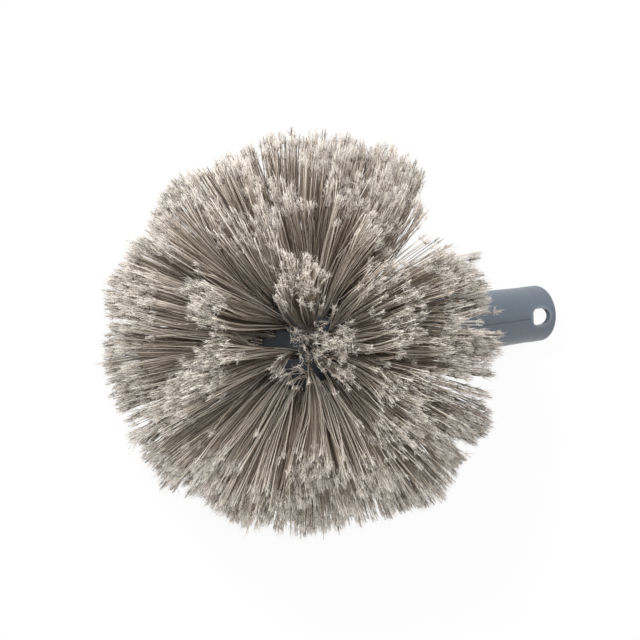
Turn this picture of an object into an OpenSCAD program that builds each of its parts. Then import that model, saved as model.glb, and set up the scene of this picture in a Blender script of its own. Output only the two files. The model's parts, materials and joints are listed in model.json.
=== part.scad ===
// Cobweb brush head: a moulded block with a pole socket, and a ball of radial bristle tufts.
// The head lies on a table, on its lowest tips and on the lower edge of the socket's mouth.
// Each strand stands for a lock of fine bristles. Sizes are in millimetres, angles in degrees.

/* [Bristle ball] */
// Radius of the ball that the bristle tips make
ball_r = 100; // [92:1:108]
// Sideways set of the ball from the axis of the socket
ball_lean = 5; // [0:0.5:8]
// Depth of the flat where the lowest tips bear on the table
flat_depth = 0.5; // [0.4:0.1:0.7]
// Most that a tip falls short of the ball
tip_shortfall = 4; // [0:0.5:6]
// Most that a tip strays from its place in the tuft, each way
tip_stray = 1; // [0:0.1:1.2]

/* [Tufts] */
// Number of tufts in each row, from the nose to the back (4 to 12 in a row)
row_counts = [4, 7, 11, 12, 12, 11];
// Turn of the first tuft in each row but the back one, from the side away from the table
row_turns = [55, 36, 20, 4, 19];
// Angle between the nose and the first row
nose_angle = 18; // [16:0.5:20]
// Spread of a tuft's tips, as a share of its room
tuft_spread = 0.72; // [0.66:0.01:0.74]
// Distance of the outer roots from the middle of the tuft
root_spread = 2; // [1.8:0.05:2.1]
// Radius of a strand at the root
strand_root_r = 0.55; // [0.4:0.01:0.6]
// Radius of a strand at the tip, where the lock has fanned out
strand_tip_r = 6.5; // [2:0.1:6.8]

/* [Block] */
// Radius of the round block that carries the tufts
block_r = 25; // [24.5:0.5:27]
// Diameter of a tuft hole
hole_d = 5.6; // [5.5:0.05:5.9]
// Depth of a tuft hole below the round face of the block
hole_depth = 8; // [6:0.5:8.5]
// Clearance between a tuft's bound foot and its hole
foot_clearance = 0.1; // [0.05:0.01:0.15]
// Height of a tuft's bound foot above the block
foot_proud = 0.5; // [0.4:0.05:0.8]

/* [Anchors] */
// Thickness of the flat wire that anchors a tuft
anchor_t = 0.4; // [0.3:0.05:0.6]
// Height of an anchor
anchor_h = 2.4; // [1.5:0.1:3]
// Clearance between an anchor and the foot or hole round it
anchor_clearance = 0.05; // [0.03:0.01:0.1]

/* [Socket] */
// Distance from the middle of the block to the mouth
socket_l = 153; // [140:1:165]
// Outer radius of the socket where it leaves the block
shoulder_r = 17.5; // [17:0.1:18]
// Outer radius of the socket beside the bead
mouth_r = 14.7; // [14.2:0.1:15.5]
// Fillet between the block and the socket
shoulder_fillet = 4; // [3:0.5:5]
// Radius of the pole bore
bore_r = 12.1; // [11.5:0.05:12.4]
// Length of the pole bore
bore_l = 105; // [90:1:120]
// Lead-in at the mouth of the bore
bore_chamfer = 0.8; // [0.4:0.1:1]
// Height of the bead round the mouth
bead_h = 0.35; // [0.2:0.05:0.6]
// Length of the bead round the mouth
bead_l = 8; // [5:0.5:10]
// Length of the slope that ends the bead
bead_slope = 3; // [1:0.5:4]
// Rounding of the mouth's outer edge
mouth_round = 1; // [0.6:0.1:1.2]

/* [Hanging hole] */
// Length of the hanging hole along the socket
hang_l = 11.6; // [10:0.2:13]
// Width of the hanging hole
hang_w = 9; // [8:0.5:9.5]
// Corner radius of the hanging hole on the block's side
hang_corner = 3; // [2.5:0.1:4]
// Distance from the mouth to the hanging hole
hang_edge = 4.8; // [4.2:0.1:8]
// Turn of the hanging hole round the socket, from the side away from the table
hang_turn = -8; // [-12:1:12]

/* [Hidden] */
$fn = 96;
ROW_NAMES = ["nose", "fore", "front", "middle", "rear", "back"];
MOULDING = [0.42, 0.46, 0.5];
BRISTLE = [0.66, 0.61, 0.56];
WIRE = [0.75, 0.75, 0.72];
SIDES = 3;
ROUND_SIDES = 12;
SEED = 7;
ARC_STEPS = 5;
HOLE_SIDES = 8;
// Length of each strand that is bound inside the foot
bound_l = 1;
// How far a cutter reaches past the face that it opens
past = 1;

// Lie of the head: at this tilt the ball and the edge of the mouth both touch the table
edge_z = socket_l - mouth_round;
edge_r = mouth_r + bead_h - mouth_round;
tilt = asin((ball_r - flat_depth - mouth_round) / norm([edge_z, edge_r])) - atan2(edge_r, edge_z);

// Rows of tufts: the back row has a tuft that bears on the table
rows = len(row_counts);
back_angle = 90 + tilt;
row_step = (back_angle - nose_angle) / (rows - 1);
tufts = [for (row = [0 : rows - 1]) for (k = [0 : row_counts[row] - 1]) [row, k]];

// Strands of a tuft: one in the middle, and the rest round it
strands = 7;
function place_in_tuft(s) =
  let (a = 360 * (s - 0.5) / (strands - 1))
  s == 0 ? [0, 0] : [cos(a), sin(a)];
chance = rands(-1, 1, 3 * strands * len(tufts), SEED);

function tuft_name(t) = str(ROW_NAMES[t[0]], "_tuft_", t[1] + 1);

// A tuft's direction from the middle of the block, where +Z is the nose and -X faces the table
function polar(t) = nose_angle + row_step * t[0];
function turn(t) = concat(row_turns, [180])[t[0]] + 360 * t[1] / row_counts[t[0]];
function outward(t) = [sin(polar(t)) * cos(turn(t)), sin(polar(t)) * sin(turn(t)), cos(polar(t))];
function across(t) = [cos(polar(t)) * cos(turn(t)), cos(polar(t)) * sin(turn(t)), -sin(polar(t))];
function along(t) = [-sin(turn(t)), cos(turn(t)), 0];
function corner(t, x, y, r, c) = across(t) * (x + r * cos(c)) + along(t) * (y + r * sin(c));

// Height above the table of a point in the block's own directions
function height(p) = p.x * cos(tilt) + p.z * sin(tilt) + ball_r - flat_depth;
function level_with_table(root, tip) =
  height(tip) < 0 ? root + (tip - root) * height(root) / (height(root) - height(tip)) : tip;

// Room of a tuft at the tips, from its middle to half way to its neighbours
function room_across(t) = ball_r * row_step * PI / 180 / 2;
function room_along(t) = PI * ball_r * sin(polar(t)) / row_counts[t[0]];

// A corner of a strand's root, and of its tip. The tips that bear on the table are full length.
function root_corner(n, s, c) =
  let (t = tufts[n])
  let (p = root_spread * place_in_tuft(s))
  outward(t) * (block_r + foot_proud - bound_l) + corner(t, p.x, p.y, strand_root_r, c);
function tip_ray(n, s) =
  let (t = tufts[n])
  let (luck = 3 * (n * strands + s))
  let (p = tuft_spread * place_in_tuft(s))
  let (x = p.x * room_across(t) + tip_stray * chance[luck])
  let (y = p.y * room_along(t) + tip_stray * chance[luck + 1])
  let (ray = outward(t) * ball_r + across(t) * x + along(t) * y)
  ray / norm(ray);
function tip_middle(n, s) =
  let (ray = tip_ray(n, s))
  let (short = tip_shortfall * abs(chance[3 * (n * strands + s) + 2]))
  ray * (height(ray * ball_r) < 0 ? ball_r : ball_r - short) + [0, ball_lean, 0];
function tip_corner(n, s, c) =
  level_with_table(root_corner(n, s, c), tip_middle(n, s) + corner(tufts[n], 0, 0, strand_tip_r, c));

// Place of the head: the origin is on the table, below the middle of the head's box
corner_turns = [for (c = [0 : SIDES - 1]) 360 * c / SIDES];
tips = [for (n = [0 : len(tufts) - 1]) for (s = [0 : strands - 1]) for (c = corner_turns)
  tip_corner(n, s, c)];
tip_xs = [for (p = tips) p.x * sin(tilt) - p.z * cos(tilt)];
tip_ys = [for (p = tips) p.y];
mouth_x = edge_z * cos(tilt) + edge_r * sin(tilt) + mouth_round;
middle_x = (min(tip_xs) + max(mouth_x, max(tip_xs))) / 2;
middle_y = (min(tip_ys) + max(tip_ys)) / 2;
module lying() translate([-middle_x, -middle_y, ball_r - flat_depth]) rotate([0, tilt - 90, 0]) children();
module facing(t) rotate([0, polar(t), turn(t)]) children();

// Block and socket, moulded in one
shoulder_z = sqrt(pow(block_r, 2) - pow(shoulder_r, 2));
socket_draft = (shoulder_r - mouth_r) / (edge_z - shoulder_z);
module socket_tube() {
  translate([0, 0, -edge_z]) cylinder(h = edge_z - shoulder_z, r1 = mouth_r, r2 = shoulder_r);
  translate([0, 0, -edge_z]) cylinder(h = bead_l, r = mouth_r + bead_h);
  translate([0, 0, bead_l - edge_z])
    cylinder(h = bead_slope, r1 = mouth_r + bead_h, r2 = mouth_r + socket_draft * (bead_l + bead_slope));
  translate([0, 0, -socket_l]) cylinder(h = mouth_round, r = edge_r);
  translate([0, 0, -edge_z]) rotate_extrude() translate([edge_r, 0])
    circle(r = mouth_round, $fn = ROUND_SIDES);
}
fillet_x = shoulder_r + shoulder_fillet;
fillet_z = -sqrt(pow(block_r + shoulder_fillet, 2) - pow(fillet_x, 2));
module shoulder_web() rotate_extrude() difference() {
  polygon([
    [fillet_x, fillet_z],
    [fillet_x, fillet_z] * block_r / (block_r + shoulder_fillet),
    [0, 0],
    [shoulder_r - past, fillet_z]
  ]);
  translate([fillet_x, fillet_z]) circle(r = shoulder_fillet);
}
module pole_bore() {
  translate([0, 0, -socket_l - past]) cylinder(h = bore_l + past, r = bore_r);
  translate([0, 0, -socket_l - past])
    cylinder(h = bore_chamfer + past, r1 = bore_r + bore_chamfer + past, r2 = bore_r);
}
module tuft_holes() {
  for (t = tufts)
    facing(t) translate([0, 0, block_r - hole_depth])
      cylinder(h = hole_depth + 2 * past, d = hole_d, $fn = HOLE_SIDES);
}
function arc(x, y, r, from, to) =
  [for (k = [0 : ARC_STEPS]) let (a = from + (to - from) * k / ARC_STEPS) [x + r * cos(a), y + r * sin(a)]];
module hanging_hole() {
  half_w = hang_w / 2;
  outline = concat(
    arc(half_w, 0, half_w, 180, 270),
    arc(hang_l - hang_corner, hang_corner - half_w, hang_corner, 270, 360),
    arc(hang_l - hang_corner, half_w - hang_corner, hang_corner, 0, 90),
    arc(half_w, 0, half_w, 90, 180)
  );
  rotate([0, 0, hang_turn]) translate([-shoulder_r - past, 0, hang_edge - socket_l]) rotate([90, 0, 90])
    linear_extrude(height = 2 * (shoulder_r + past)) rotate(90) polygon(outline);
}
module brush_block() color(MOULDING) lying() difference() {
  union() {
    sphere(r = block_r);
    socket_tube();
    shoulder_web();
  }
  pole_bore();
  tuft_holes();
  hanging_hole();
}

// Flat wire anchors, one at the bottom of each tuft hole
module tuft_anchors() color(WIRE) lying() {
  for (t = tufts)
    facing(t) translate([0, 0, block_r - hole_depth + anchor_h / 2])
      cube([hole_d - 2 * anchor_clearance, anchor_t, anchor_h], center = true);
}

// A tuft: the bound foot, slotted over its anchor, and the strands that fan from it
module tuft_foot() translate([0, 0, block_r - hole_depth]) difference() {
  cylinder(h = hole_depth + foot_proud, d = hole_d - 2 * foot_clearance, $fn = HOLE_SIDES);
  translate([-hole_d / 2, -anchor_t / 2 - anchor_clearance, -past])
    cube([hole_d, anchor_t + 2 * anchor_clearance, anchor_h + anchor_clearance + past]);
}
module strand(n, s) polyhedron(
  points = concat(
    [for (c = corner_turns) root_corner(n, s, c)],
    [for (c = corner_turns) tip_corner(n, s, c)]
  ),
  faces = [[0, 1, 2], [5, 4, 3], [0, 3, 1], [3, 4, 1], [1, 4, 2], [4, 5, 2], [2, 5, 0], [5, 3, 0]]
);
module tuft(n) color(BRISTLE) lying() union() {
  facing(tufts[n]) tuft_foot();
  for (s = [0 : strands - 1]) strand(n, s);
}

brush_block();
tuft_anchors();
for (n = [0 : len(tufts) - 1]) tuft(n);
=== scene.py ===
import json
from math import cos, pi, radians, sin

import bpy
import numpy as np
from bpy.props import FloatProperty, FloatVectorProperty, IntProperty, PointerProperty
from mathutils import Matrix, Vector


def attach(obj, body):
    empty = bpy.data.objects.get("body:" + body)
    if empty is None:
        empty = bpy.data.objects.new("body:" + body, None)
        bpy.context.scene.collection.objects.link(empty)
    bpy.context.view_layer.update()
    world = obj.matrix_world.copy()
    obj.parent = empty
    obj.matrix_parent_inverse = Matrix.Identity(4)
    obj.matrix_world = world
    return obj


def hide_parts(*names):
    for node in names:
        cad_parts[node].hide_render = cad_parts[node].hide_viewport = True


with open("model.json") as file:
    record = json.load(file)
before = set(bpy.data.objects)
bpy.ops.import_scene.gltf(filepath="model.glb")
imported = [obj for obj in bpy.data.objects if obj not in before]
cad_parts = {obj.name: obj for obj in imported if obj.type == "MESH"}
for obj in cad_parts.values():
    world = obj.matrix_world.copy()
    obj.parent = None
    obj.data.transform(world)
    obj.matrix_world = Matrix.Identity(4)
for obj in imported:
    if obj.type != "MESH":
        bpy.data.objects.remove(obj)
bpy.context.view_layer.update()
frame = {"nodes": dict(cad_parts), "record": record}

bl_info = {
    "name": "Cobweb brush head",
    "version": (1, 0, 0),
    "blender": (4, 5, 0),
    "location": "3D View > Sidebar > Cobweb brush",
    "description": "Dresses the brush head: its moulded block, its tufts of split bristles and the stage",
    "category": "Object",
}

# The head's own lie, worked out from the frame: the bore's middle is MIDDLE_TO_BORE from the block's
MOUNTS = {mount["name"]: mount for mount in frame["record"]["mounts"]}
BORE = MOUNTS["pole_socket"]
SOCKET_AXIS = np.array(BORE["axis"], float) / np.linalg.norm(BORE["axis"])
MIDDLE_TO_BORE = 0.1005
BLOCK = np.array(BORE["pos_m"], float) - SOCKET_AXIS * MIDDLE_TO_BORE
UP_SIDE = np.array([-SOCKET_AXIS[2], 0.0, SOCKET_AXIS[0]])
SIDEWAYS = np.array([0.0, 1.0, 0.0])
HANG_UP = np.array(MOUNTS["hanging_hole"]["axis"], float)
HANG_SIDE = np.cross(SOCKET_AXIS, HANG_UP)

# Sizes that the pieces share, in metres
BALL_R = 0.1
BALL_LEAN = 0.005
TIPS_FROM = 0.85
BLOCK_R = 0.025
HOLE_R = 0.0028
HOLE_DEPTH = 0.008
ANCHOR_ROOM = 0.00045
HANG_EDGE = 0.0048
HANG_L = 0.0116
HANG_W = 0.009
SOCKET_L = 0.153
TABLE_Z = 0.0
WELD_SHIFT = 0.0004
WELD_W = 0.0007

# Shape of a bristle: rings along the shaft and along the hairs at its split tip, sides all round, and the
# place of each along V of the strand map
SHAFT_RINGS = 8
HAIR_RINGS = 2
SIDES = 3
SHAFT_V = 0.86
HAIR_V = (0.8, 0.92)

# How the bristles of a tuft are gathered in locks and wisps. A place of 1 is the edge of the tuft's room,
# and a pair is the least and the most. A tuft has three to five locks
FIRST_SEED = 100
LOCKS = (3, 6)
LOCK_TURN = 0.2
LOCK_PLACE = (0.4, 0.62)
LOCK_WIDTH = (0.24, 0.36)
LOCK_SHORT = (-0.002, 0.006)
LOCK_EDGE = 1.9
ROOM_EDGE = 1.1
STRAY_PLACE = 0.85
STRAY_SHORT = 0.014
WISP_SHORT = 0.0028
WISP_BOW = 0.5
CHANCE_SHAPE = 0.7
BRISTLE_PLACE = 0.05
BRISTLE_SHORT = 0.0016
BRISTLE_BOW = 0.25
BRISTLE_CHANCE = 0.25
KNOT_R = 0.0028

# How a bristle sits in its hole, as shares of the hole's radius, and how it runs
SEAT_SHARE = 0.82
SEAT_EDGE = 0.93
SEAT_STRAY = 0.00025
FOOT_LIFT = 0.0003
MOUTH_LIFT = 0.0002
RING_CROWDING = 1.4
SWEPT_FAN = 0.75
WAVY_SHARE = 0.05
WAVES = (0.7, 1.5)
WAVE_R = 0.0022
WEAR = (0.8, 1.2)

# How the hairs of a split tip lie
SPLIT_LENGTH = (0.5, 1.3)
HAIR_PAST = (-0.003, 0.0012)
HAIR_LEAN = 0.1
HAIR_BEND = 0.45
HAIR_NECK = 0.9
HAIR_WEAR = (0.7, 1.3)

# Camera and light: the middle of the block in the photograph, from the middle of the picture in pixels, and
# each soft lamp's name, place, size and power
BLOCK_PIXEL = (-12.0, -23.0)
PICTURE = 640
SENSOR = 36.0
FLOOR_SIZE = 6.0
FLOOR_WHITE = 0.93
WORLD_LEVEL = 0.46
LAMPS = (
    ("soft lamp behind", (-0.35, 0.75, 1.5), 0.3, 10.0),
    ("soft lamp low", (0.15, 1.2, 0.3), 0.5, 6.0),
    ("soft lamp above", (0.1, 0.15, 1.6), 0.3, 9.5),
    ("soft lamp left", (-1.3, -0.5, 0.9), 0.8, 3.0),
)

TUFT_ROWS = ("nose", "fore", "front", "middle", "rear", "back")
TUFT_NAMES = sorted(
    (name for name in frame["nodes"] if name.split("_")[0] in TUFT_ROWS and "_tuft_" in name),
    key=lambda name: (TUFT_ROWS.index(name.split("_")[0]), int(name.split("_")[-1])),
)

# Where the photograph shows the tips of the tufts that are swept aside: degrees from the nose, degrees of
# turn, and share of their usual spread
SWEPT = {
    "nose_tuft_1": (17.2, 107.1, 0.75),
    "nose_tuft_4": (20.1, -36.8, 0.7),
    "fore_tuft_1": (29.7, 27.0, 0.66),
    "fore_tuft_6": (41.0, -81.2, 0.85),
    "fore_tuft_7": (27.0, -10.0, 0.64),
    "front_tuft_1": (55.7, 16.7, 0.78),
    "front_tuft_10": (63.6, -54.0, 0.85),
    "front_tuft_11": (62.0, -7.2, 0.8),
}

# Knots of short tips where the photograph shows them: degrees from the nose, of turn, and length from the
# middle of the block
KNOTS = {
    "fore_tuft_7": ((43.1, -9.7, 0.071), (43.2, -15.2, 0.065)),
    "front_tuft_1": ((50.7, 6.1, 0.069), (52.0, 2.3, 0.067), (62.2, 6.4, 0.073)),
    "front_tuft_2": (
        (49.8, 71.4, 0.098), (49.4, 61.5, 0.097), (50.7, 53.7, 0.097), (44.9, 57.4, 0.097),
        (50.9, 44.3, 0.097), (55.8, 45.6, 0.097), (46.6, 47.4, 0.097), (54.9, 37.3, 0.096),
    ),
    "front_tuft_10": ((51.7, -10.3, 0.059), (42.8, -24.7, 0.055)),
    "front_tuft_11": ((69.3, -14.2, 0.083), (54.7, 0.9, 0.067), (58.8, -3.6, 0.073), (62.4, 0.5, 0.077)),
}

# Partings round the upright axis: middle, half gap at the tips, how far it pushes, and the middle and half
# height of its lift
PARTINGS = (
    (31.5, 13.5, 38.0, 0.0, 39.0),
    (98.0, 1.0, 8.0, 0.0, 28.0),
    (169.0, 1.2, 8.0, 0.0, 26.0),
    (197.0, 1.2, 9.0, 0.0, 30.0),
    (253.0, 0.5, 8.0, 0.0, 26.0),
    (317.0, 2.2, 12.0, 0.0, 30.0),
    (337.3, 2.2, 9.0, 0.0, 34.0),
    (358.0, 2.6, 9.0, 4.0, 26.0),
    (131.0, 9.0, 22.0, 52.0, 28.0),
    (215.0, 4.0, 16.0, 50.0, 26.0),
)

# Clearings near the block: how they open over it and fade at their ends, how softly and how far a bristle
# gives way in half widths, then each one's turn from the middle, near and far end, and half width
CLEARING_LIFT = 0.006
CLEARING_TOP = 0.012
CLEARING_NEAR = 0.004
CLEARING_FAR = 0.012
CLEARING_SOFT = 0.5
CLEARING_ROOM = 1.2
CLEARING_MOST = 3
CLEARINGS = (
    (171.0, 0.008, 0.023, 0.002),
    (138.0, 0.011, 0.02, 0.0009),
    (214.0, 0.009, 0.018, 0.0012),
    (34.0, 0.007, 0.012, 0.0013),
    (264.0, 0.016, 0.034, 0.0006),
)

# Longer and shorter lobes round the ball: middle, half width, and extra length
LOBES = (
    (54.0, 9.0, 0.02),
    (104.0, 14.0, -0.045),
    (163.0, 9.0, 0.03),
    (203.0, 9.0, 0.03),
    (223.0, 7.0, 0.03),
    (244.0, 8.0, 0.015),
    (268.0, 7.0, -0.03),
    (280.0, 6.0, 0.015),
    (303.0, 9.0, 0.075),
    (324.0, 6.0, 0.045),
    (340.0, 11.0, -0.055),
    (8.0, 12.0, -0.025),
    (26.0, 10.0, -0.085),
)


def direction(polar, turn):
    """Unit vector at an angle from the nose and a turn about the socket's axis, 0 on the up side."""
    return (
        -SOCKET_AXIS * cos(polar)
        + UP_SIDE * sin(polar) * cos(turn)
        + SIDEWAYS * sin(polar) * sin(turn)
    )


def off_middle(turns, middle):
    """Degrees of turn from a middle, between -180 and 180."""
    return (turns - middle + 180) % 360 - 180


def lie(rays):
    """Degrees of turn round the upright axis, and of lift above the level."""
    level = np.hypot(rays[:, 0], rays[:, 1])
    return np.degrees(np.arctan2(rays[:, 1], rays[:, 0])), np.degrees(np.arctan2(rays[:, 2], level))


def lobe_reach(rays):
    """Share of the ball's radius that a tip reaches."""
    turns, lift = lie(rays)
    level = np.cos(np.radians(lift)) ** 2
    return 1 + level * sum(
        extra * np.exp(-((off_middle(turns, middle) / width) ** 2)) for middle, width, extra in LOBES
    )


def parting(rays):
    """How each ray moves when it turns out of the partings."""
    turns, lift = lie(rays)
    moved = turns.copy()
    for middle, gap, push, height, half in PARTINGS:
        off = off_middle(turns, middle)
        near = np.clip(1 - np.abs(off) / push, 0, 1) * np.clip(1 - ((lift - height) / half) ** 4, 0, 1)
        moved += np.sign(off) * gap * near
    swing = np.radians(moved - turns)
    x = rays[:, 0] * np.cos(swing) - rays[:, 1] * np.sin(swing)
    y = rays[:, 0] * np.sin(swing) + rays[:, 1] * np.cos(swing)
    return np.stack([x, y, rays[:, 2]], axis=1) - rays


def cleared(lines, out):
    """Bristles pushed to their tuft's own side out of the clearings over the block."""
    free = np.clip((np.linalg.norm(lines - BLOCK, axis=2) - BLOCK_R) / CLEARING_LIFT, 0, 1)
    free = free * np.clip((lines - BLOCK)[..., 2] / CLEARING_TOP, 0, 1)
    for turn, near, far, half in CLEARINGS:
        ahead = np.array([cos(radians(turn)), sin(radians(turn)), 0.0])
        aside = np.array([-ahead[1], ahead[0], 0.0]) * np.sign(out @ [-ahead[1], ahead[0], 0.0])
        run = (lines - BLOCK) @ ahead
        off = (lines - BLOCK) @ aside
        opened = np.clip((run - near) / CLEARING_NEAR + 1, 0, 1)
        share = opened * np.clip((far - run) / CLEARING_FAR + 1, 0, 1) * free
        soft = half * CLEARING_SOFT
        lack = soft * np.logaddexp(0, (CLEARING_ROOM * half - off) / soft)
        lines = lines + aside * (share * np.minimum(lack, CLEARING_MOST * half))[..., None]
    return lines


class Tuft:
    """Place, axes and room of one tuft, read from its CAD solid."""

    def __init__(self, name):
        mesh = frame["nodes"][name].data
        points = np.empty(len(mesh.vertices) * 3, np.float32)
        mesh.vertices.foreach_get("co", points)
        points = points.reshape(-1, 3).astype(float)
        reach = np.linalg.norm(points - BLOCK, axis=1)
        foot = points[reach < BLOCK_R]
        tips = points[reach > BALL_R * TIPS_FROM] - SIDEWAYS * BALL_LEAN - BLOCK
        self.name = name
        self.out = foot.mean(axis=0) - BLOCK
        self.out /= np.linalg.norm(self.out)
        self.polar = np.arccos(np.clip(-self.out @ SOCKET_AXIS, -1, 1))
        self.turn = np.arctan2(self.out @ SIDEWAYS, self.out @ UP_SIDE)
        self.across = (
            SOCKET_AXIS * sin(self.polar)
            + UP_SIDE * cos(self.polar) * cos(self.turn)
            + SIDEWAYS * cos(self.polar) * sin(self.turn)
        )
        self.along = np.cross(self.out, self.across)
        flat = tips / (tips @ self.out)[:, None] * BALL_R
        self.room_across = np.abs(flat @ self.across).max()
        self.room_along = np.abs(flat @ self.along).max()


class Link:
    """One value in a shader: arithmetic on it adds the Math nodes."""

    def __init__(self, paint, socket):
        self.paint = paint
        self.socket = socket

    def math(self, operation, first, second=None):
        values = {0: first} if second is None else {0: first, 1: second}
        return self.paint.node("ShaderNodeMath", {"operation": operation}, values)

    def __add__(self, other):
        return self.math("ADD", self, other)

    __radd__ = __add__

    def __mul__(self, other):
        return self.math("MULTIPLY", self, other)

    __rmul__ = __mul__

    def __sub__(self, other):
        return self.math("SUBTRACT", self, other)

    def __rsub__(self, other):
        return self.math("SUBTRACT", other, self)

    def __truediv__(self, other):
        return self.math("DIVIDE", self, other)

    def __pow__(self, other):
        return self.math("POWER", self, other)

    def absolute(self):
        return self.math("ABSOLUTE", self)

    def clamped(self):
        return self.math("MINIMUM", self.math("MAXIMUM", self, 0.0), 1.0)

    def stepped(self, low, high):
        """0 below low, 1 above high, and a straight slope between."""
        return ((self - low) / (high - low)).clamped()


class Paint:
    """A new node material with a Principled shader."""

    def __init__(self, name):
        self.material = bpy.data.materials.new(name)
        self.material.use_nodes = True
        self.tree = self.material.node_tree
        self.shader = self.tree.nodes["Principled BSDF"]

    def connect(self, node, key, value):
        if isinstance(value, Link):
            self.tree.links.new(value.socket, node.inputs[key])
        else:
            node.inputs[key].default_value = value

    def node(self, kind, settings=None, values=None, output=0):
        made = self.tree.nodes.new(kind)
        for key, value in (settings or {}).items():
            setattr(made, key, value)
        for key, value in (values or {}).items():
            self.connect(made, key, value)
        return Link(self, made.outputs[output])

    def outputs(self, link, *names):
        return [Link(self, link.socket.node.outputs[name]) for name in names]

    def colour(self, factor, first, second):
        """Mix of two colours."""
        made = self.tree.nodes.new("ShaderNodeMix")
        made.data_type = "RGBA"
        colours = [socket for socket in made.inputs if socket.type == "RGBA"]
        self.connect(made, 0, factor)
        for socket, value in zip(colours, (first, second)):
            if isinstance(value, Link):
                self.tree.links.new(value.socket, socket)
            else:
                socket.default_value = value
        return Link(self, next(socket for socket in made.outputs if socket.type == "RGBA"))

    def noise(self, place, scale, detail, roughness):
        return self.node(
            "ShaderNodeTexNoise",
            values={"Vector": place, "Scale": scale, "Detail": detail, "Roughness": roughness},
        )

    def place(self):
        """Object coordinates."""
        return self.node("ShaderNodeTexCoord", output=3)

    def dot(self, place, vector):
        """Distance along a vector."""
        return self.node(
            "ShaderNodeVectorMath", {"operation": "DOT_PRODUCT"}, {0: place, 1: vector}, output=1
        )

    def bump(self, height, distance, strength=1.0):
        return self.node(
            "ShaderNodeBump", values={"Height": height, "Distance": distance, "Strength": strength}
        )

    def finish(self, **sockets):
        for key, value in sockets.items():
            self.connect(self.shader, key.replace("_", " "), value)
        return self.material


def opaque(colour):
    return (*colour, 1.0)


def moulding_material(settings):
    """Satin moulded plastic, with a fine grain, faint flow marks, the weld line below the hole, a painted
    highlight round the hanging hole and painted shade on the block's round core.
    """
    paint = Paint("moulded plastic")
    place = paint.place()
    flow = paint.noise(place, 28.0, 3.0, 0.55)
    grain = paint.noise(place, 1900.0, 2.0, 0.6)
    marks = paint.noise(place, 240.0, 3.0, 0.6)
    side = paint.dot(place, tuple(HANG_SIDE)) - float(BLOCK @ HANG_SIDE)
    down = paint.dot(place, tuple(SOCKET_AXIS)) - float(BLOCK @ SOCKET_AXIS)
    up = paint.dot(place, tuple(HANG_UP)) - float(BLOCK @ HANG_UP)
    core = (side**2.0 + up**2.0 + down**2.0) ** 0.5
    hole_from = SOCKET_L - HANG_EDGE - HANG_L
    weld = 1 - (side - WELD_SHIFT).absolute().stepped(0.0001, WELD_W)
    weld = weld * up.stepped(0.0, 0.004) * (1 - down.stepped(hole_from - 0.002, hole_from))
    hole_middle = SOCKET_L - HANG_EDGE - HANG_L / 2
    round_hole = ((side / (HANG_W / 2)) ** 2.0 + ((down - hole_middle) / (HANG_L / 2)) ** 2.0) ** 0.5
    # Painted highlight: a paler ring round the hanging hole, as light catching a rounded lip; its bump
    # gives the lip a slight rise
    lip_highlight = 1 - (round_hole - 1.12).absolute().stepped(0.04, 0.3)
    base = paint.colour(
        flow.stepped(0.3, 0.7), opaque(settings.plastic_dark), opaque(settings.plastic)
    )
    base = paint.colour(marks.stepped(0.62, 0.8) * 0.25, base, opaque(settings.plastic_rubbed_and_highlight))
    base = paint.colour(weld * 0.6, base, opaque(settings.plastic_shade_and_weld))
    # Painted highlight round the hanging hole, in the paler rubbed colour
    base = paint.colour(lip_highlight * 0.35, base, opaque(settings.plastic_rubbed_and_highlight))
    # Painted shade: the round core of the block darkens towards its middle, where the tufts shade it; its
    # plastic is the same as the socket's
    shaded = 1 - core.stepped(0.027, 0.045)
    base = paint.colour(shaded, base, opaque(settings.plastic_shade_and_weld))
    rough = 0.28 + flow * 0.08 + marks * 0.06 + shaded * 0.45
    height = grain * 0.00003 + flow * 0.00025 + weld * 0.00012 + lip_highlight * 0.00025
    return paint.finish(
        Base_Color=base,
        Roughness=rough,
        Specular_IOR_Level=0.65,
        Normal=paint.bump(height, 1.0, 0.8),
    )


def wire_material(settings):
    """Drawn flat wire."""
    paint = Paint("flat wire")
    place = paint.place()
    drawn = paint.noise(place, 900.0, 3.0, 0.6)
    base = paint.colour(drawn, opaque(settings.wire_dark), opaque(settings.wire))
    return paint.finish(
        Base_Color=base,
        Metallic=1.0,
        Roughness=0.28 + drawn * 0.15,
        Normal=paint.bump(drawn * 0.00002, 1.0),
    )


def bristle_material(settings):
    """Soft greige bristle, with painted shade towards the roots: U of the strand map is the bristle's own
    chance, V its length.
    """
    paint = Paint("split bristle")
    strand = paint.node("ShaderNodeUVMap", {"uv_map": "strand"})
    parts = paint.node("ShaderNodeSeparateXYZ", values={0: strand})
    chance, length = paint.outputs(parts, "X", "Y")
    place = paint.place()
    smudge = paint.noise(place, 45.0, 2.0, 0.5)
    fleck = paint.noise(place, 900.0, 2.0, 0.6)
    # Painted shade: the shafts darken to the root colour towards the block, where the tuft shades itself
    base = paint.colour(length.stepped(0.0, 0.36), opaque(settings.root), opaque(settings.shaft))
    base = paint.colour(chance.stepped(0.45, 0.9) * 0.85, base, opaque(settings.shaft_light))
    # Darker bristles and smudges, at random, take the same root colour as their own tone
    base = paint.colour((1 - chance.stepped(0.06, 0.42)) * 0.85, base, opaque(settings.root))
    base = paint.colour(smudge.stepped(0.5, 0.75) * 0.2, base, opaque(settings.root))
    tip = (length + chance * 0.07 + smudge * 0.06).stepped(0.85, 1.0)
    base = paint.colour(tip * 0.93, base, opaque(settings.tip))
    base = paint.colour(fleck.stepped(0.55, 0.8) * length * 0.3, base, opaque(settings.tip))
    return paint.finish(
        Base_Color=base,
        Roughness=0.42,
        Specular_IOR_Level=0.5,
    )


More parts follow.
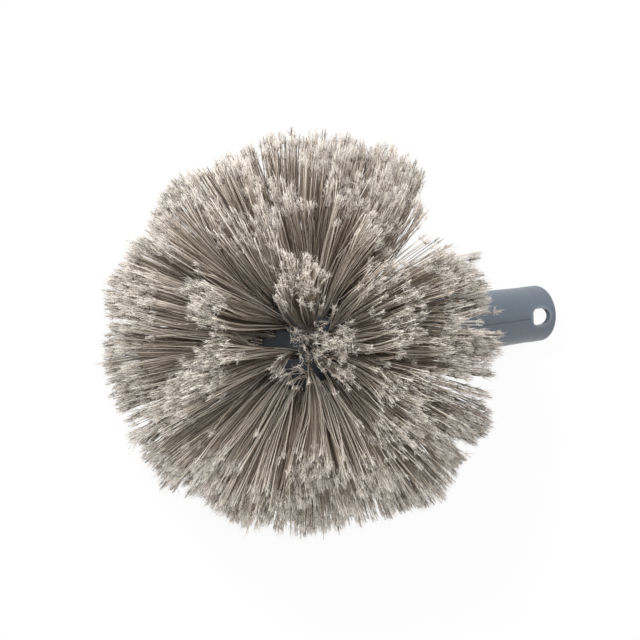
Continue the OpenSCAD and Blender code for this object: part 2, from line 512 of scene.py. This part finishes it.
def tubes(centres, radii):
    """Points and faces of many alike tubes. centres is (tube, ring, 3) and radii (tube, ring)."""
    count, rings = centres.shape[:2]
    run = centres[:, -1] - centres[:, 0]
    run /= np.linalg.norm(run, axis=1)[:, None]
    helper = np.where(np.abs(run[:, 2:3]) < 0.8, [[0.0, 0.0, 1.0]], [[1.0, 0.0, 0.0]])
    side = np.cross(run, helper)
    side /= np.linalg.norm(side, axis=1)[:, None]
    other = np.cross(run, side)
    angles = 2 * pi * np.arange(SIDES) / SIDES
    ring = side[:, None] * np.cos(angles)[:, None] + other[:, None] * np.sin(angles)[:, None]
    points = centres[:, :, None] + ring[:, None] * radii[:, :, None, None]
    index = np.arange(count * rings * SIDES).reshape(count, rings, SIDES)
    low, high = index[:, :-1], index[:, 1:]
    quads = np.stack([low, np.roll(low, -1, 2), np.roll(high, -1, 2), high], axis=-1).reshape(-1, 4)
    return points.reshape(-1, 3), quads, index


def capped(index):
    """Triangles that close both ends of each tube."""
    return np.concatenate([index[:, 0, ::-1].reshape(-1, SIDES), index[:, -1].reshape(-1, SIDES)])


def pointed(index, first):
    """Triangles that close the root of each tube, and run its last ring to a point numbered from first."""
    last = index[:, -1]
    ends = np.repeat(first + np.arange(len(index)), SIDES).reshape(-1, SIDES)
    cone = np.stack([last, np.roll(last, -1, 1), ends], axis=-1).reshape(-1, 3)
    return np.concatenate([index[:, 0, ::-1].reshape(-1, SIDES), cone])


def mesh_object(name, points, quads, triangles, strand):
    """A mesh object from arrays, with the strand map that the material reads."""
    mesh = bpy.data.meshes.new(name)
    corners = np.concatenate([quads.ravel(), triangles.ravel()])
    sizes = np.concatenate([np.full(len(quads), 4), np.full(len(triangles), 3)])
    mesh.vertices.add(len(points))
    mesh.vertices.foreach_set("co", points.astype(np.float32).ravel())
    mesh.loops.add(len(corners))
    mesh.loops.foreach_set("vertex_index", corners.astype(np.int32))
    mesh.polygons.add(len(sizes))
    starts = np.concatenate([[0], np.cumsum(sizes)[:-1]])
    mesh.polygons.foreach_set("loop_start", starts.astype(np.int32))
    mesh.polygons.foreach_set("loop_total", sizes.astype(np.int32))
    layer = mesh.uv_layers.new(name="strand")
    layer.data.foreach_set("uv", strand[corners].astype(np.float32).ravel())
    mesh.polygons.foreach_set("use_smooth", np.ones(len(sizes), bool))
    mesh.update(calc_edges=True)
    mesh.validate()
    piece = bpy.data.objects.new(name, mesh)
    bpy.context.scene.collection.objects.link(piece)
    return piece


class Bundle:
    """Bristles of one tuft, gathered in locks and in fine wisps."""

    def __init__(self, tuft, number, settings):
        self.tuft = tuft
        self.settings = settings
        self.luck = np.random.default_rng(FIRST_SEED + number)

    def wisps(self):
        """Place in the tuft's room, shortfall, chance and bow of each bristle."""
        luck, settings, tuft = self.luck, self.settings, self.tuft
        locks = int(luck.integers(*LOCKS))
        turns = 2 * pi * (np.arange(locks) + luck.uniform(0, 1)) / locks
        turns = turns + luck.normal(0, LOCK_TURN, locks)
        reach = luck.uniform(*LOCK_PLACE, locks)
        middles = np.stack([reach * np.cos(turns), reach * np.sin(turns)], axis=1)
        widths = luck.uniform(*LOCK_WIDTH, locks)
        short = luck.uniform(*LOCK_SHORT, locks)
        bows = luck.normal(0, settings.bow, (locks, 3))

        count = settings.wisps
        lock = luck.integers(0, locks, count)
        spread = luck.normal(0, 1, (count, 2))
        spread /= np.maximum(1, np.linalg.norm(spread, axis=1) / LOCK_EDGE)[:, None]
        places = middles[lock] + spread * widths[lock][:, None]
        places /= np.maximum(1, np.linalg.norm(places, axis=1) / ROOM_EDGE)[:, None]
        stray = luck.uniform(0, 1, count) < settings.strays
        places = np.where(stray[:, None], luck.normal(0, STRAY_PLACE, (count, 2)), places)
        fall = short[lock] + np.abs(luck.normal(0, WISP_SHORT, count))
        fall = fall + stray * luck.uniform(0, STRAY_SHORT, count)
        bow = bows[lock] + luck.normal(0, settings.bow * WISP_BOW, (count, 3))
        chance = luck.beta(CHANCE_SHAPE, CHANCE_SHAPE, count)

        each = settings.bristles
        total = count * each
        places = np.repeat(places, each, axis=0) + luck.normal(0, BRISTLE_PLACE, (total, 2))
        fall = np.repeat(fall, each) + np.abs(luck.normal(0, BRISTLE_SHORT, total))
        bow = np.repeat(bow, each, axis=0) + luck.normal(0, settings.bow * BRISTLE_BOW, (total, 3))
        bow -= (bow @ tuft.out)[:, None] * tuft.out
        chance = np.clip(np.repeat(chance, each) + luck.normal(0, BRISTLE_CHANCE, total), 0, 1)
        return places, fall, chance, bow

    def tips(self, places, fall):
        """Where the bristles end."""
        tuft = self.tuft
        aim, spread = tuft.out, 1.0
        if tuft.name in SWEPT:
            polar, turn, spread = SWEPT[tuft.name]
            aim = direction(radians(polar), radians(turn))
        places = places * spread
        flat = (
            aim * BALL_R
            + tuft.across * (places[:, :1] * tuft.room_across)
            + tuft.along * (places[:, 1:] * tuft.room_along)
        )
        rays = flat / np.linalg.norm(flat, axis=1)[:, None]
        reach = (BALL_R + self.settings.longer) * lobe_reach(rays) - fall
        tips = BLOCK + SIDEWAYS * BALL_LEAN + rays * reach[:, None]
        first = 0
        for polar, turn, length in KNOTS.get(tuft.name, ()):
            knot = BLOCK + direction(radians(polar), radians(turn)) * length
            last = first + self.settings.knot
            tips[first:last] = knot + self.luck.normal(0, KNOT_R, (last - first, 3))
            first = last
        return tips, parting(rays) * reach[:, None]

    def shafts(self):
        """Middle lines of the bristles, their radii and their chance."""
        tuft, settings, luck = self.tuft, self.settings, self.luck
        places, fall, chance, bow = self.wisps()
        count = len(places)
        tips, moves = self.tips(places, fall)
        seat = np.clip(places, -ROOM_EDGE, ROOM_EDGE) * (HOLE_R * SEAT_SHARE)
        seat = seat + luck.normal(0, SEAT_STRAY, (count, 2))
        seat /= np.maximum(1, np.linalg.norm(seat, axis=1) / (HOLE_R * SEAT_EDGE))[:, None]
        folded = seat.copy()
        folded[:, 1] = np.sign(seat[:, 1]) * (ANCHOR_ROOM + np.abs(seat[:, 1]) * (1 - ANCHOR_ROOM / HOLE_R))
        folded /= np.maximum(1, np.linalg.norm(folded, axis=1) / (HOLE_R * SEAT_EDGE))[:, None]
        feet = self.in_hole(folded, BLOCK_R - HOLE_DEPTH + FOOT_LIFT)
        mouths = self.in_hole(seat, BLOCK_R + MOUTH_LIFT)

        steps = np.linspace(0, 1, SHAFT_RINGS - 1) ** RING_CROWDING
        run = tips - mouths
        rise = run @ tuft.out
        aside = run - rise[:, None] * tuft.out
        lines = mouths[:, None] + tuft.out * (rise[:, None] * steps)[..., None]
        fan = SWEPT_FAN if tuft.name in SWEPT else settings.fan
        lines = lines + aside[:, None] * (steps**fan)[:, None] + moves[:, None] * (steps**2)[:, None]
        lines = lines + bow[:, None] * np.sin(pi * steps)[:, None]
        wavy = luck.uniform(0, 1, count) < WAVY_SHARE
        swings = 2 * pi * (steps * luck.uniform(*WAVES, (count, 1)) + luck.uniform(0, 1, (count, 1)))
        wave = luck.normal(0, WAVE_R, (count, 3)) * wavy[:, None]
        lines = cleared(lines + wave[:, None] * (np.sin(swings) * steps)[..., None], tuft.out)
        chance = np.where(wavy, 1.0, chance)
        lines = np.concatenate([feet[:, None], lines], axis=1)
        steps = np.concatenate([[0.0], steps])
        wear = luck.uniform(*WEAR, count)
        radii = (settings.root_r * (1 - steps) + settings.tip_r * steps) * wear[:, None]
        return lines, radii, chance, steps

    def in_hole(self, seat, height):
        """Points beside the tuft's axis, at a height over the middle of the block."""
        tuft = self.tuft
        return BLOCK + tuft.out * height + tuft.across * seat[:, :1] + tuft.along * seat[:, 1:]

    def hairs(self, lines):
        """Middle lines of the fine hairs that each bristle's tip splits into, and their points."""
        settings, luck = self.settings, self.luck
        each = settings.hairs
        end = lines[:, -1]
        run = end - lines[:, -2]
        run /= np.linalg.norm(run, axis=1)[:, None]
        length = settings.split * luck.uniform(*SPLIT_LENGTH, len(lines))
        starts = np.repeat(end - run * length[:, None], each, axis=0)
        count = len(starts)
        spread = luck.normal(0, 1, (count, 3)) * settings.flare
        run = np.repeat(run, each, axis=0)
        ends = np.repeat(end, each, axis=0) + spread + run * luck.uniform(*HAIR_PAST, (count, 1))
        middles = (starts + ends) / 2 + spread * HAIR_LEAN
        middles = middles + luck.normal(0, settings.flare * HAIR_BEND, (count, 3))
        centres = np.stack([starts, middles], axis=1)
        radii = np.array([1.0, HAIR_NECK]) * settings.hair_r * luck.uniform(*HAIR_WEAR, (count, 1))
        return centres, radii, ends

    def build(self):
        """The tuft's piece, with the strand map."""
        settings = self.settings
        lines, radii, chance, steps = self.shafts()
        points, quads, index = tubes(lines, radii)
        triangles = capped(index)
        along = np.tile(np.repeat(steps * SHAFT_V, SIDES), len(lines))
        strand = np.stack([np.repeat(chance, SHAFT_RINGS * SIDES), along], axis=1)
        centres, fine, ends = self.hairs(lines)
        more, more_quads, hair_index = tubes(centres, fine)
        shift = len(points)
        first = shift + len(more)
        hair_chance = np.repeat(chance, settings.hairs)
        along = np.tile(np.repeat(np.array(HAIR_V), SIDES), len(centres))
        more_strand = np.stack([np.repeat(hair_chance, HAIR_RINGS * SIDES), along], axis=1)
        end_strand = np.stack([hair_chance, np.ones(len(centres))], axis=1)
        points = np.concatenate([points, more, ends])
        points[:, 2] = np.maximum(points[:, 2], TABLE_Z + 0.0001)
        quads = np.concatenate([quads, more_quads + shift])
        triangles = np.concatenate([triangles, pointed(hair_index + shift, first)])
        strand = np.concatenate([strand, more_strand, end_strand])
        return mesh_object(self.tuft.name + "_bristles", points, quads, triangles, strand)


class MouldingSettings(bpy.types.PropertyGroup):
    """Finish of the block, the socket and the anchors."""

    plastic: FloatVectorProperty(
        name="Plastic", description="Colour of the moulding",
        subtype="COLOR", default=(0.106, 0.134, 0.166)
    )
    plastic_dark: FloatVectorProperty(
        name="Flow marks", description="Darker colour of the flow marks",
        subtype="COLOR", default=(0.09, 0.114, 0.142)
    )
    # Paler colour of the rubbed spots, also used as the painted highlight round the hanging hole
    plastic_rubbed_and_highlight: FloatVectorProperty(
        name="Rubbed and lip highlight", description="Paler colour at rubbed spots, and the painted highlight round the hanging hole",
        subtype="COLOR", default=(0.27, 0.31, 0.35)
    )
    # Painted shade of the block deep between the tufts, whose plastic is the same as the socket's; the weld
    # line also takes this colour as its own darker tone
    plastic_shade_and_weld: FloatVectorProperty(
        name="Painted shade and weld", description="Colour of the block deep between the tufts",
        subtype="COLOR", default=(0.028, 0.033, 0.04)
    )
    wire: FloatVectorProperty(
        name="Wire", description="Colour of the anchors", subtype="COLOR", default=(0.6, 0.6, 0.58)
    )
    wire_dark: FloatVectorProperty(
        name="Dull wire", description="Duller colour of the anchors",
        subtype="COLOR", default=(0.42, 0.42, 0.41)
    )


class BristleSettings(bpy.types.PropertyGroup):
    """Number, size and colours of the bristles."""

    wisps: IntProperty(name="Wisps", description="Wisps in each tuft", default=74, min=10, max=120)
    bristles: IntProperty(name="Bristles", description="Bristles in each wisp", default=3, min=1, max=8)
    strays: FloatProperty(
        name="Strays", description="Share of the wisps that stray from their lock",
        default=0.12, min=0, max=1
    )
    knot: IntProperty(
        name="Knot", description="Bristles in each knot of short tips", default=8, min=0, max=40
    )
    hairs: IntProperty(name="Hairs", description="Hairs at each split tip", default=8, min=1, max=10)
    root_r: FloatProperty(
        name="Root radius", description="Radius at the block", default=0.0002, unit="LENGTH", precision=5
    )
    tip_r: FloatProperty(
        name="Tip radius", description="Radius at the split", default=0.00022, unit="LENGTH", precision=5
    )
    hair_r: FloatProperty(
        name="Hair radius", description="Radius of a split hair",
        default=0.0001, unit="LENGTH", precision=5
    )
    split: FloatProperty(
        name="Split", description="Length of the split tips", default=0.005, unit="LENGTH", precision=4
    )
    flare: FloatProperty(
        name="Flare", description="Spread of the split hairs", default=0.0011, unit="LENGTH", precision=5
    )
    bow: FloatProperty(
        name="Bow", description="Bow of a bristle", default=0.0013, unit="LENGTH", precision=5
    )
    fan: FloatProperty(
        name="Fan", description="How late a tuft fans out, 1 for evenly", default=0.6, min=0.3, max=1.5
    )
    longer: FloatProperty(
        name="Longer", description="Length of the longest bristles past the ball",
        default=0.003, unit="LENGTH", precision=4
    )
    # The root colour is painted shade near the block, and also the own tone of the darker bristles and
    # smudges
    root: FloatVectorProperty(
        name="Root", description="Painted shade in the depth, also the tone of the darker bristles and smudges", subtype="COLOR", default=(0.06, 0.043, 0.03)
    )
    shaft: FloatVectorProperty(
        name="Shaft", description="Colour of the shafts", subtype="COLOR", default=(0.37, 0.295, 0.23)
    )
    shaft_light: FloatVectorProperty(
        name="Pale shaft", description="Colour of the paler shafts",
        subtype="COLOR", default=(0.93, 0.84, 0.74)
    )
    tip: FloatVectorProperty(
        name="Tips", description="Colour of the split tips", subtype="COLOR", default=(0.93, 0.87, 0.8)
    )


class StageSettings(bpy.types.PropertyGroup):
    """Camera, floor and light."""

    camera_height: FloatProperty(
        name="Camera height", description="From the ball's middle to the camera",
        default=1.0, unit="LENGTH"
    )
    camera_turn: FloatProperty(
        name="Camera turn", description="Turn of the picture", default=radians(-7.0), subtype="ANGLE"
    )
    lens: FloatProperty(name="Lens", description="Focal length in millimetres", default=112.5)
    floor: FloatVectorProperty(
        name="Floor", description="Colour of the floor", subtype="COLOR", default=(0.9, 0.9, 0.9)
    )


class COBWEB_OT_block(bpy.types.Operator):
    """Finishes the moulded block with its socket, and the anchors in its holes"""

    bl_idname = "cobweb.block"
    bl_label = "Block and anchors"

    def execute(self, context):
        settings = context.scene.cobweb_moulding
        for node, material in (
            ("brush_block", moulding_material(settings)),
            ("tuft_anchors", wire_material(settings)),
        ):
            mesh = frame["nodes"][node].data
            mesh.materials.clear()
            mesh.materials.append(material)
        return {"FINISHED"}


class COBWEB_OT_tufts(bpy.types.Operator):
    """Builds every tuft from single bristles with split tips"""

    bl_idname = "cobweb.tufts"
    bl_label = "Bristle tufts"

    def execute(self, context):
        settings = context.scene.cobweb_bristles
        material = bristle_material(settings)
        for number, name in enumerate(TUFT_NAMES):
            piece = Bundle(Tuft(name), number, settings).build()
            piece.data.materials.append(material)
            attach(piece, "root")
            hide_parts(name)
        return {"FINISHED"}


def add_area(name, place, target, size, power):
    """A soft square lamp that looks at the target."""
    lamp = bpy.data.lights.new(name, "AREA")
    lamp.size = size
    lamp.energy = power
    made = bpy.data.objects.new(name, lamp)
    made.location = place
    made.rotation_euler = (Vector(target) - Vector(place)).to_track_quat("-Z", "Y").to_euler()
    bpy.context.scene.collection.objects.link(made)
    return made


def camera_white(tree, surface, white, share):
    """Mixes a white glow into what the camera and reflections see of a surface."""
    path = tree.nodes.new("ShaderNodeLightPath")
    seen = tree.nodes.new("ShaderNodeMath")
    seen.operation = "ADD"
    tree.links.new(path.outputs["Is Camera Ray"], seen.inputs[0])
    tree.links.new(path.outputs["Is Glossy Ray"], seen.inputs[1])
    more = tree.nodes.new("ShaderNodeMath")
    more.operation = "ADD"
    more.use_clamp = True
    tree.links.new(seen.outputs[0], more.inputs[0])
    tree.links.new(path.outputs["Is Transmission Ray"], more.inputs[1])
    part = tree.nodes.new("ShaderNodeMath")
    part.operation = "MULTIPLY"
    tree.links.new(more.outputs[0], part.inputs[0])
    part.inputs[1].default_value = share
    mix = tree.nodes.new("ShaderNodeMixShader")
    tree.links.new(part.outputs[0], mix.inputs[0])
    tree.links.new(surface, mix.inputs[1])
    tree.links.new(white, mix.inputs[2])
    return mix.outputs[0]


class COBWEB_OT_stage(bpy.types.Operator):
    """Sets up the floor, the soft light and the camera"""

    bl_idname = "cobweb.stage"
    bl_label = "Stage"

    def floor(self, settings):
        bpy.ops.object.select_all(action="DESELECT")
        bpy.ops.mesh.primitive_plane_add(size=FLOOR_SIZE, location=(0, 0, 0))
        floor = bpy.context.active_object
        floor.name = "floor"
        paint = Paint("floor")
        paint.finish(Base_Color=opaque(settings.floor), Roughness=0.9, Specular_IOR_Level=0.1)
        glow = paint.tree.nodes.new("ShaderNodeEmission")
        glow.inputs["Color"].default_value = (1, 1, 1, 1)
        out = paint.tree.nodes["Material Output"]
        mixed = camera_white(paint.tree, paint.shader.outputs[0], glow.outputs[0], FLOOR_WHITE)
        paint.tree.links.new(mixed, out.inputs["Surface"])
        floor.data.materials.append(paint.material)

    def light(self, scene, target):
        world = bpy.data.worlds.new("studio")
        world.use_nodes = True
        tree = world.node_tree
        tree.nodes.clear()
        soft = tree.nodes.new("ShaderNodeBackground")
        soft.inputs["Color"].default_value = (1, 1, 1, 1)
        soft.inputs["Strength"].default_value = WORLD_LEVEL
        white = tree.nodes.new("ShaderNodeBackground")
        white.inputs["Color"].default_value = (1, 1, 1, 1)
        white.inputs["Strength"].default_value = 1.0
        out = tree.nodes.new("ShaderNodeOutputWorld")
        tree.links.new(camera_white(tree, soft.outputs[0], white.outputs[0], 1.0), out.inputs["Surface"])
        scene.world = world
        for name, place, size, power in LAMPS:
            add_area(name, place, target, size, power)

    def camera(self, scene, settings):
        lens = bpy.data.cameras.new("camera")
        lens.lens = settings.lens
        lens.sensor_width = SENSOR
        lens.clip_start = 0.01
        camera = bpy.data.objects.new("camera", lens)
        turn = settings.camera_turn
        right = np.array([cos(turn), sin(turn), 0.0])
        up = np.array([-sin(turn), cos(turn), 0.0])
        metres = settings.camera_height * SENSOR / (settings.lens * PICTURE)
        place = BLOCK - right * BLOCK_PIXEL[0] * metres - up * BLOCK_PIXEL[1] * metres
        place[2] = BLOCK[2] + settings.camera_height
        camera.location = place
        camera.rotation_euler = (0, 0, turn)
        scene.collection.objects.link(camera)
        scene.camera = camera

    def execute(self, context):
        scene = context.scene
        settings = scene.cobweb_stage
        self.floor(settings)
        self.light(scene, BLOCK)
        self.camera(scene, settings)
        scene.view_settings.view_transform = "Standard"
        return {"FINISHED"}


class COBWEB_PT_panel(bpy.types.Panel):
    """Lists the sizes, the colours and the steps"""

    bl_label = "Cobweb brush"
    bl_idname = "COBWEB_PT_panel"
    bl_space_type = "VIEW_3D"
    bl_region_type = "UI"
    bl_category = "Cobweb brush"

    def draw(self, context):
        for group in (
            context.scene.cobweb_moulding,
            context.scene.cobweb_bristles,
            context.scene.cobweb_stage,
        ):
            box = self.layout.box()
            for key in group.bl_rna.properties.keys():
                if key not in ("rna_type", "name"):
                    box.prop(group, key)
        for operator in OPERATORS:
            self.layout.operator(operator.bl_idname)


OPERATORS = (COBWEB_OT_block, COBWEB_OT_tufts, COBWEB_OT_stage)
GROUPS = {
    "cobweb_moulding": MouldingSettings,
    "cobweb_bristles": BristleSettings,
    "cobweb_stage": StageSettings,
}
CLASSES = (*GROUPS.values(), *OPERATORS, COBWEB_PT_panel)


def register():
    for one in CLASSES:
        bpy.utils.register_class(one)
    for name, group in GROUPS.items():
        setattr(bpy.types.Scene, name, PointerProperty(type=group))


def unregister():
    for name in GROUPS:
        delattr(bpy.types.Scene, name)
    for one in reversed(CLASSES):
        bpy.utils.unregister_class(one)


def main():
    register()
    bpy.ops.cobweb.stage()
    bpy.ops.cobweb.block()
    bpy.ops.cobweb.tufts()


if __name__ == "__main__":
    main()
